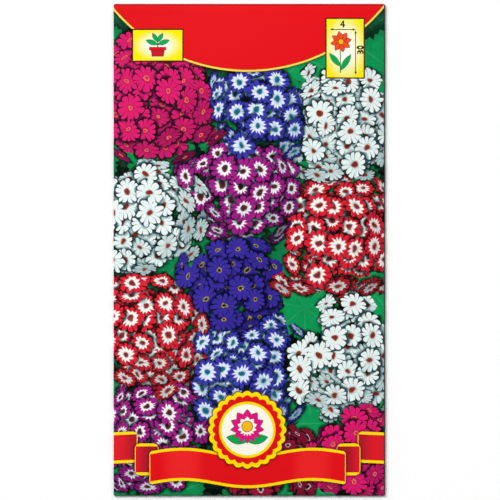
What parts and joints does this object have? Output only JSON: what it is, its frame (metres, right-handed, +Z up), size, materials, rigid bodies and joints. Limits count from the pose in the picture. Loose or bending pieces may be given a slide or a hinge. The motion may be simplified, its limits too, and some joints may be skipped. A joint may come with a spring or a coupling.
{
  "type": "seed packet",
  "caption": "Flat printed paper seed packet, folded and glued shut, with a centre back seam, end flaps, and loose seed in a small film sachet inside.",
  "frame": {"origin": "on the surface that the packet lies on, under the middle of its outline", "axes": "+Z up out of the printed front face, +Y towards the packet's top edge, +X to the right as the front is read"},
  "size_m": [0.08, 0.145, 0.0031],
  "materials": {
    "printed_paper": "glossy coated paper, printed in full colour",
    "clear_film": "thin clear film",
    "seed_coat": "dry, ribbed, dark brown"
  },
  "bodies": {
    "root": {"envelope": "printed_paper", "inner_sachet": "clear_film", "seed_01": "seed_coat", "seed_02": "seed_coat", "seed_03": "seed_coat", "seed_04": "seed_coat", "seed_05": "seed_coat", "seed_06": "seed_coat", "seed_07": "seed_coat", "seed_08": "seed_coat", "seed_09": "seed_coat", "seed_10": "seed_coat", "seed_11": "seed_coat", "seed_12": "seed_coat", "seed_13": "seed_coat", "seed_14": "seed_coat", "seed_15": "seed_coat", "seed_16": "seed_coat", "seed_17": "seed_coat", "seed_18": "seed_coat", "seed_19": "seed_coat", "seed_20": "seed_coat", "seed_21": "seed_coat", "seed_22": "seed_coat", "seed_23": "seed_coat", "seed_24": "seed_coat"}
  },
  "joints": []
}
